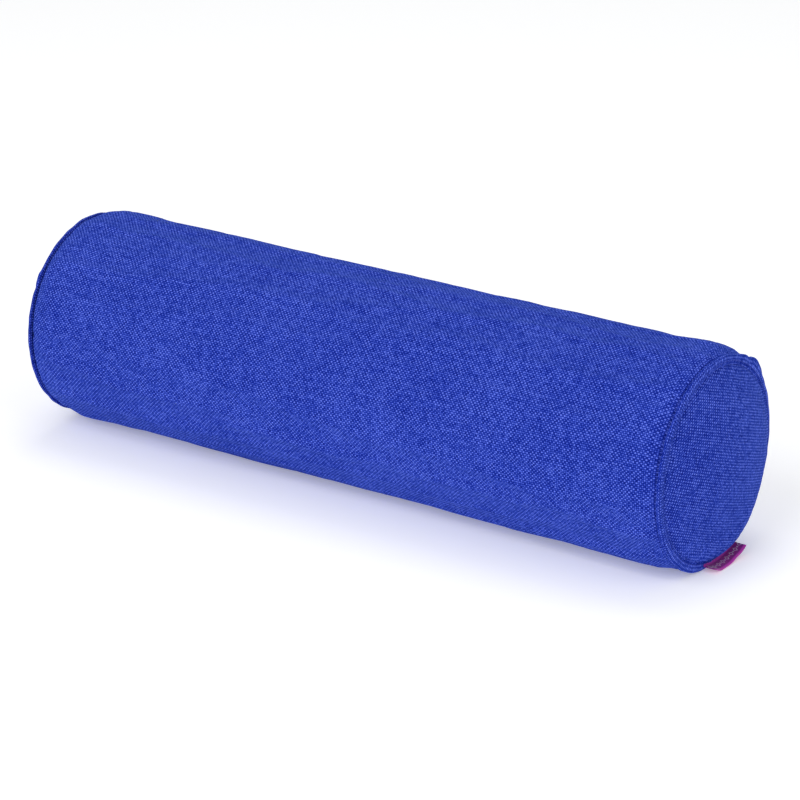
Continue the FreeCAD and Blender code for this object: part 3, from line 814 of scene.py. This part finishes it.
# Inner cushion
def under_cover(points, inset):
    """Draws points of the cover's skin in, and presses them flat under the zip."""
    height = (points - CENTRE) @ NORMAL
    limit = ZIP_POCKET - max(0, inset - 1.2 * MM)
    points = points - np.clip(height - limit, 0, None)[..., None] * NORMAL
    points[..., 2] = np.maximum(points[..., 2], inset)
    return points


def cushion_end(side):
    """The end's skin without its bulge, which the inner cushion does not reach into."""
    return SKIN_ENDS[(side + 1) // 2] - side * bulge(*disc_grid())[..., None] * X_AXIS


def liner_tube(material):
    x, round_s = ramp(liner_low.x, liner_high.x, 5 * MM)[:, None], ramp(0, BARREL_ROUND, 4 * MM)
    s = round_s[None, :-1]
    base, _ = barrel_skin(x, s)
    out = unit(base - CENTRE - x[..., None] * X_AXIS)
    fold = 0.5 * lumps(x * 1.7, s)[..., None] - 0.2 * MM
    outer, inner = (under_cover(base - out * inset + out * fold, inset) for inset in (1.4 * MM, 1.9 * MM))
    obj = shell("liner_tube_cloth", outer, inner, flat_grid(x.ravel(), round_s), True)
    return piece(obj, "liner_tube", material)


def liner_end(side, material):
    """End of the inner cushion, from its tip out to its seam inside the cover's shoulder."""
    cells = 48
    share, angle = disc_grid(cells)
    grid = finer_end(cushion_end(side), cells)
    seam = (liner_end_high.y - 0.3 * MM) / RIM
    beside_seam = smoothstep(0.85, 1.0, share)
    spread = 1 + (seam - 1) * beside_seam[..., None]
    puckered = 0.25 * MM * np.cos(angle * 61 + 3 * np.sin(angle * 5)) * smoothstep(0.8, 1.0, share)
    back = puckered + 2.2 * MM * beside_seam
    points = CENTRE + (grid - CENTRE) * np.concatenate([np.ones_like(spread), spread, spread], -1)
    outer, inner = (points - X_AXIS * side * (inset + back)[..., None] for inset in (1.7 * MM, 2.2 * MM))
    name = "liner_end_" + SIDES[side]
    obj = shell(name + "_cloth", outer, inner, on_disc(share * RIM, angle))
    return piece(obj, name, material)


def liner_seam_stitching(material):
    radius = (liner_stitch_high.y - liner_stitch_low.y) / 2 - 0.35 * MM
    x = liner_stitch_high.x - 0.35 * MM
    obj = ring_stitches("liner_seam_thread", x, radius, 0.9, LINER_STITCH_PITCH)
    other = ring_stitches("liner_seam_thread_left", -x, radius, -0.9, LINER_STITCH_PITCH)
    with bpy.context.temp_override(active_object=obj, object=obj, selected_editable_objects=[obj, other]):
        bpy.ops.object.join()
    return piece(obj, "liner_seam_stitching", material)


def husk_fill(material):
    """The loose fill as one lumpy mass inside the calico case."""
    faces, _ = skin_faces()
    points = joined(SKIN_BARREL, [cushion_end(-1), cushion_end(1)])
    centre_line = np.clip(points[:, 0], -BARREL_END + RADIUS, BARREL_END - RADIUS)
    inwards = unit(np.stack([centre_line, np.zeros(len(points)), np.full(len(points), AXIS_Z)], -1) - points)
    draw = np.random.default_rng(71)
    points = points + inwards * (3.2 * MM + draw.uniform(0, 0.35, (len(points), 1)) * MM)
    obj = cleaned(new_object("husk_fill_mass", under_cover(points, 3.0 * MM), faces))
    return piece(obj, "husk_fill", material)


# Materials
def opaque(colour):
    return (*colour, 1.0)


def operation(name):
    """Arithmetic on a value that shader nodes work out: it adds one more node."""
    return lambda first, *others: first.graph.math(name, first, *others)


class Value:
    """A number or colour that shader nodes work out."""

    def __init__(self, graph, socket):
        self.graph, self.socket = graph, socket

    __add__, __sub__, __mul__ = operation("ADD"), operation("SUBTRACT"), operation("MULTIPLY")
    __truediv__, __abs__ = operation("DIVIDE"), operation("ABSOLUTE")


class Graph:
    """A new material, and short ways to add and join its shader nodes."""

    def __init__(self, name, flat_colour):
        self.material = bpy.data.materials.new(name)
        self.material.use_nodes = True
        self.material.diffuse_color = opaque(flat_colour)
        self.tree = self.material.node_tree
        self.tree.nodes.clear()

    def node(self, kind, inputs=None, **settings):
        node = self.tree.nodes.new(kind)
        for name, value in settings.items():
            setattr(node, name, value)
        for key, value in (inputs or {}).items():
            socket = node.inputs[key]
            if isinstance(value, Value):
                self.tree.links.new(value.socket, socket)
            else:
                socket.default_value = opaque(value) if socket.type == "RGBA" else value
        return node

    def value(self, kind, output, inputs=None, **settings):
        return Value(self, self.node(kind, inputs, **settings).outputs[output])

    def math(self, operation, *values):
        return self.value("ShaderNodeMath", 0, dict(enumerate(values)), operation=operation)

    def wave(self, value, length):
        """Sine of a value that repeats after a length."""
        return self.math("SINE", value * (TURN / length))

    def fit(self, value, low, high, new_low=0.0, new_high=1.0, smooth=True):
        inputs = {"Value": value, "From Min": low, "From Max": high, "To Min": new_low, "To Max": new_high}
        kind = "SMOOTHSTEP" if smooth else "LINEAR"
        return self.value("ShaderNodeMapRange", 0, inputs, interpolation_type=kind)

    def vector(self, x, y, z=0.0):
        return self.value("ShaderNodeCombineXYZ", 0, {0: x, 1: y, 2: z})

    def noise(self, vector, scale, detail=2.0, roughness=0.5):
        inputs = {"Vector": vector, "Scale": scale, "Detail": detail, "Roughness": roughness}
        return self.value("ShaderNodeTexNoise", 0, inputs)

    def mix(self, factor, a, b):
        return self.value("ShaderNodeMix", 2, {0: factor, 6: a, 7: b}, data_type="RGBA")

    def cloth_uv(self):
        uv = self.value("ShaderNodeUVMap", 0, uv_map="cloth")
        parts = self.node("ShaderNodeSeparateXYZ", {0: uv})
        return Value(self, parts.outputs[0]), Value(self, parts.outputs[1])

    def position(self):
        return self.value("ShaderNodeTexCoord", "Object")

    def bump(self, height, distance):
        return self.value("ShaderNodeBump", 0, {"Height": height, "Distance": distance, "Strength": 1.0})

    def finish(self, colour, roughness, normal=None, **constants):
        """Adds the surface shader, with constants on its own sockets, and returns the material."""
        inputs = {"Base Color": colour, "Roughness": roughness}
        if normal is not None:
            inputs["Normal"] = normal
        inputs.update({name.replace("_", " "): value for name, value in constants.items()})
        surface = self.value("ShaderNodeBsdfPrincipled", 0, inputs)
        self.node("ShaderNodeOutputMaterial", {0: surface})
        return self.material


def weave(graph, pitch, doubled):
    """Plain weave over the cloth's own coordinates: height, which thread is on top, and unevenness."""
    u, v = graph.cloth_uv()
    slow, quick = graph.noise(graph.vector(u, v), 22.0), graph.noise(graph.vector(v, u, 3.0), 150.0)
    other = graph.noise(graph.vector(v, u, 7.0), 22.0)
    p = u / pitch + (slow * (2 * WANDER) + quick * (0.5 * WANDER))
    q = v / pitch + (other * (2 * WANDER) + quick * (-0.5 * WANDER))

    def threads(a, b, sign):
        """Height of the threads that lie side by side along a, and run along b."""
        wave = graph.math("SINE", a * math.pi)
        profile = graph.math("POWER", abs(wave), 0.6)
        level = graph.math("SIGN", wave) * (graph.math("SINE", b * math.pi) * (0.5 * sign)) + 0.5
        split = abs(graph.math("FRACT", a) - 0.5)
        return profile * level - graph.fit(split, 0.0, 0.14, doubled, 0.0)

    warp, weft = threads(p, q, 1.0), threads(q, p, -1.0)
    height = graph.math("SMOOTH_MAX", warp, weft, 0.12)
    warp_on_top = graph.fit(warp - weft, -0.10, 0.10)
    slubs = []
    for across, along, seed in ((q, p, 37.5), (p, q, 0.5)):
        number = graph.math("FLOOR", across) + seed
        own = graph.value("ShaderNodeTexWhiteNoise", "Value", {"W": number}, noise_dimensions="1D")
        slubs.append(graph.noise(graph.vector(own * 91.0, along * 0.10, seed), 1.0))
    uneven = graph.value("ShaderNodeMix", 0, {0: warp_on_top, 2: slubs[0], 3: slubs[1]}, data_type="FLOAT")
    crossing = graph.vector(graph.math("FLOOR", p), graph.math("FLOOR", q))
    speck = graph.value("ShaderNodeTexWhiteNoise", "Value", {"Vector": crossing}, noise_dimensions="2D")
    return height, warp_on_top, uneven, speck


def canvas():
    graph = Graph("royal blue canvas", (0.034, 0.062, 0.42))
    height, warp_on_top, uneven, speck = weave(graph, WEAVE_PITCH, doubled=0.16)
    patches = graph.noise(graph.position(), 14.0, 3.0)
    # Painted shade darkens the weave's hollows and the cells where the warp is on top, and painted highlight
    # lightens the thread tops; the specks, slubs and patches are the cloth's own uneven tone.
    level = (height - 0.66) * 1.7 + (warp_on_top - 0.5) * -0.62 + (speck - 0.5) * 0.6
    level = level + graph.fit(uneven, 0.30, 0.70, -0.16, 0.16, smooth=False)
    level = level + graph.fit(patches, 0.3, 0.7, -0.05, 0.05)
    colour = graph.mix(graph.fit(level, -0.75, 0.0, smooth=False), CANVAS_PAINTED_SHADE_AND_DARK_FLECK, CANVAS_BLUE)
    colour = graph.mix(graph.fit(level, 0.0, 0.75, smooth=False), colour, CANVAS_PAINTED_HIGHLIGHT_AND_PALE_FLECK)
    normal = graph.bump(height + (uneven - 0.5) * 0.5, 0.34 * MM)
    sheen = {"Sheen_Weight": 0.20, "Sheen_Roughness": 0.45, "Sheen_Tint": (0.12, 0.30, 1.0)}
    rough = graph.fit(height, 0.0, 1.0, 0.95, 0.80)
    return graph.finish(colour, rough, normal, Specular_IOR_Level=0.03, **sheen)


def thread(name, colour, twist_shade):
    """Twisted sewing thread with painted shade between the turns of its twist: its own coordinates run once
    per stitch.
    """
    graph = Graph(name, colour)
    u, v = graph.cloth_uv()
    lit = graph.fit(graph.math("SINE", u * 44.0 + v * (TURN)), -1.0, 0.6)
    colour = graph.mix(lit, twist_shade, colour)
    return graph.finish(colour, 0.7, graph.bump(lit, 0.05 * MM), Specular_IOR_Level=0.12)


def ribbon():
    """Purple woven ribbon with a darker band of pale lozenges and dots on its upper face, and a painted
    highlight along its fold.
    """
    graph = Graph("purple ribbon", (0.34, 0.021, 0.29))
    u, v = graph.cloth_uv()
    height = (graph.wave(u, 0.42 * MM) + graph.wave(v, 0.5 * MM)) * 0.25
    patchy = graph.fit(graph.noise(graph.vector(u, v * 0.3), 700.0), 0.3, 0.7, 0.0, 0.45)
    colour = graph.mix(patchy, (0.46, 0.030, 0.38), (0.33, 0.018, 0.28))

    off_centre = abs(v - LABEL_BAND_CENTRE)
    in_band = graph.fit(off_centre, LABEL_BAND_HALF_WIDTH + 0.25 * MM, LABEL_BAND_HALF_WIDTH)
    colour = graph.mix(in_band * 0.62, colour, (0.12, 0.006, 0.12))

    along = graph.math("MODULO", u + 10 * LOZENGE_PITCH, LOZENGE_PITCH)
    from_lozenge = abs(along - LOZENGE_PITCH / 2)
    ring = abs(from_lozenge + off_centre * 1.15 - LOZENGE_SIZE)
    from_dot = from_lozenge - LOZENGE_PITCH / 2
    dot = graph.math("SQRT", from_dot * from_dot + off_centre * off_centre)
    mark = graph.math("MAXIMUM", graph.fit(ring, 0.42 * MM, 0.28 * MM), graph.fit(dot, 0.62 * MM, 0.45 * MM))
    colour = graph.mix(mark * 0.72, colour, (0.62, 0.50, 0.62))

    # Painted highlight: the ribbon is lighter along its fold.
    fold_highlight = graph.fit(abs(v - LABEL_REACH), 4.8 * MM, 3.6 * MM, 0.0, 0.85)
    colour = graph.mix(fold_highlight, colour, (0.60, 0.045, 0.48))
    sheen = {"Sheen_Weight": 0.25, "Sheen_Roughness": 0.3}
    return graph.finish(colour, 0.46, graph.bump(height, 0.10 * MM), Specular_IOR_Level=0.4, **sheen)


def satin():
    """White satin with a faint rib and no printing."""
    graph = Graph("white satin", (0.78, 0.77, 0.74))
    u, v = graph.cloth_uv()
    rib = graph.wave(u + v * 0.5, 0.3 * MM)
    soft = graph.fit(graph.noise(graph.vector(u, v), 260.0), 0.3, 0.7)
    colour = graph.mix(soft, (0.80, 0.79, 0.76), (0.68, 0.67, 0.65))
    return graph.finish(colour, 0.34, graph.bump(rib, 0.03 * MM), Sheen_Weight=0.15, Specular_IOR_Level=0.5)


def herringbone():
    """Zip tape: fine slanting ribs that change direction every few millimetres."""
    graph = Graph("blue zip tape", (0.028, 0.052, 0.36))
    u, v = graph.cloth_uv()
    slant = u + graph.math("PINGPONG", v, 1.9 * MM) * 1.1
    height = graph.wave(slant, 0.62 * MM) * 0.5 + graph.wave(v, 0.44 * MM) * 0.22
    worn = graph.fit(graph.noise(graph.vector(u, v), 420.0, 3.0), 0.45, 0.75, 0.0, 0.25)
    # Painted shade in the hollows between the tape's ribs and painted highlight on their tops.
    colour = graph.mix(graph.fit(height, -0.6, 0.6), (0.014, 0.027, 0.21), (0.036, 0.066, 0.43))
    colour = graph.mix(worn, colour, (0.06, 0.10, 0.50))
    normal = graph.bump(height, 0.12 * MM)
    return graph.finish(colour, 0.72, normal, Sheen_Weight=0.08, Specular_IOR_Level=0.3)


def nylon():
    graph = Graph("blue nylon coil", (0.024, 0.046, 0.38))
    rubbed = graph.noise(graph.position(), 900.0)
    colour = graph.mix(graph.fit(rubbed, 0.35, 0.7), (0.018, 0.036, 0.33), (0.036, 0.066, 0.46))
    return graph.finish(colour, graph.fit(rubbed, 0.3, 0.7, 0.30, 0.44), Specular_IOR_Level=0.5)


def lacquer(name, colour, worn_colour):
    """Lacquered metal: mottled, with fine scratches and a little metal bared along the edges."""
    graph = Graph(name, colour)
    place = graph.position()
    mottle = graph.noise(place, 800.0, 4.0, 0.6)
    stretched = graph.value("ShaderNodeMapping", 0, {"Vector": place, "Scale": (0.12, 1.0, 1.0)})
    scratch = graph.noise(stretched, 2600.0)
    base = graph.mix(graph.fit(mottle, 0.3, 0.7), colour, tuple(1.35 * c for c in colour))
    point = graph.value("ShaderNodeNewGeometry", "Pointiness")
    edge = graph.fit(point + mottle * 0.08, 0.60, 0.68)
    bared = graph.math("MAXIMUM", edge * 0.55, graph.fit(scratch, 0.70, 0.76, 0.0, 0.35))
    rough = graph.fit(mottle, 0.3, 0.7, 0.24, 0.38) + bared * 0.12
    normal = graph.bump(mottle + scratch * 0.5, 0.02 * MM)
    coat = {"Coat_Weight": 0.35, "Coat_Roughness": 0.2}
    return graph.finish(graph.mix(bared, base, worn_colour), rough, normal, Specular_IOR_Level=0.6, **coat)


def calico():
    graph = Graph("unbleached calico", (0.66, 0.60, 0.47))
    height, _, uneven, speck = weave(graph, CALICO_PITCH, doubled=0.0)
    colour = graph.mix(graph.fit(uneven, 0.3, 0.7), (0.52, 0.46, 0.34), (0.74, 0.69, 0.57))
    colour = graph.mix(graph.fit(speck, 0.96, 0.99, 0.0, 0.7), colour, (0.36, 0.27, 0.16))
    # Painted shade: the calico is darker where its weave is low, between the threads.
    colour = graph.mix(graph.fit(height, 0.1, 0.6, 0.35, 0.0), colour, (0.30, 0.25, 0.17))
    return graph.finish(colour, 0.9, graph.bump(height, 0.14 * MM), Sheen_Weight=0.08, Specular_IOR_Level=0.2)


def husk():
    """Packed buckwheat hulls, a few millimetres across."""
    graph = Graph("buckwheat husk", (0.11, 0.055, 0.026))
    cells = graph.node("ShaderNodeTexVoronoi", {"Vector": graph.position(), "Scale": 260.0})
    distance, shade = (Value(graph, cells.outputs[name]) for name in ("Distance", "Color"))
    tone = graph.value("ShaderNodeSeparateColor", 0, {0: shade})
    colour = graph.mix(tone, (0.055, 0.026, 0.012), (0.19, 0.105, 0.05))
    # Painted shade in the gaps between the hulls: darker towards the edge of each cell.
    colour = graph.mix(graph.fit(distance, 0.35, 0.75, 0.0, 0.75), colour, (0.012, 0.006, 0.003))
    rough = graph.fit(tone, 0.0, 1.0, 0.5, 0.7)
    normal = graph.bump(graph.math("SUBTRACT", 1.0, distance), 1.2 * MM)
    return graph.finish(colour, rough, normal, Specular_IOR_Level=0.4)


# The bolster
CANVAS, TAPE, NYLON, CALICO = canvas(), herringbone(), nylon(), calico()
COVER_THREAD = thread("blue sewing thread", (0.035, 0.070, 0.50), (0.012, 0.030, 0.32))
LACQUER = lacquer("blue lacquered metal", (0.022, 0.042, 0.36), (0.42, 0.41, 0.40))
STOP_METAL = lacquer("blue stop metal", (0.020, 0.036, 0.30), (0.46, 0.45, 0.43))

cover_barrel(CANVAS)
for side in (1, -1):
    cover_end(side, CANVAS)
    welt(side, CANVAS)
    welt_stitching(side, COVER_THREAD)
    tape(side, TAPE)
    coil(side, NYLON)
    liner_end(side, CALICO)
side_label(ribbon())
care_label(satin())
zip_stitching(COVER_THREAD)
rounded_copy("zip_top_stops", STOP_METAL, 0.15 * MM)
rounded_copy("zip_bottom_stop", STOP_METAL, 0.15 * MM)
rounded_copy("zip_slider", LACQUER, 0.25 * MM, "slider")
rounded_copy("zip_pull_tab", LACQUER, 0.3 * MM, "pull_tab")
liner_tube(CALICO)
liner_seam_stitching(thread("undyed sewing thread", (0.60, 0.56, 0.47), (0.38, 0.34, 0.27)))
husk_fill(husk())


# Studio
def plain_floor():
    mesh = bpy.data.meshes.new("studio_floor")
    corners = [(-6, -6, 0), (6, -6, 0), (6, 6, 0), (-6, 6, 0)]
    mesh.from_pydata(corners, [], [(0, 1, 2, 3)])
    glow = {"Emission_Color": (1.0, 1.0, 1.0), "Emission_Strength": FLOOR_GLOW}
    white = Graph("studio white", (0.9, 0.9, 0.9)).finish(FLOOR_WHITE, 0.9, Specular_IOR_Level=0.0, **glow)
    mesh.materials.append(white)
    return add_object("studio_floor", mesh)


def direction(azimuth, elevation):
    a, e = math.radians(azimuth), math.radians(elevation)
    return Vector((math.sin(a) * math.cos(e), -math.cos(a) * math.cos(e), math.sin(e)))


def softbox(name, azimuth, elevation, distance, size, watts):
    light = bpy.data.lights.new(name, "AREA")
    light.shape, light.size, light.energy = "DISK", size, watts
    obj, aim = add_object(name, light), Vector((0.0, 0.0, 0.08))
    obj.location = aim + direction(azimuth, elevation) * distance
    obj.rotation_euler = (obj.location - aim).to_track_quat("Z", "Y").to_euler()
    return obj


plain_floor()
for light in STUDIO_LIGHTS:
    softbox(*light)

world = bpy.data.worlds.new("studio")
bpy.context.scene.world = world
world.use_nodes = True
world.node_tree.nodes["Background"].inputs["Color"].default_value = opaque(SKY)
world.node_tree.nodes["Background"].inputs["Strength"].default_value = SKY_STRENGTH

lens = bpy.data.cameras.new("camera")
lens.lens, lens.sensor_width = LENS, 36.0
lens.clip_start, lens.clip_end = 0.05, 50.0
camera = add_object("camera", lens)
back = direction(VIEW_AZIMUTH, VIEW_ELEVATION)
camera.rotation_euler = back.to_track_quat("Z", "Y").to_euler()
right = Vector((math.cos(math.radians(VIEW_AZIMUTH)), math.sin(math.radians(VIEW_AZIMUTH)), 0))
camera.location = Vector(CENTRE) + back * 35.5 * RADIUS + right * 8.6 * MM - back.cross(right) * 11.8 * MM
bpy.context.scene.camera = camera
bpy.context.scene.view_settings.view_transform = "Standard"
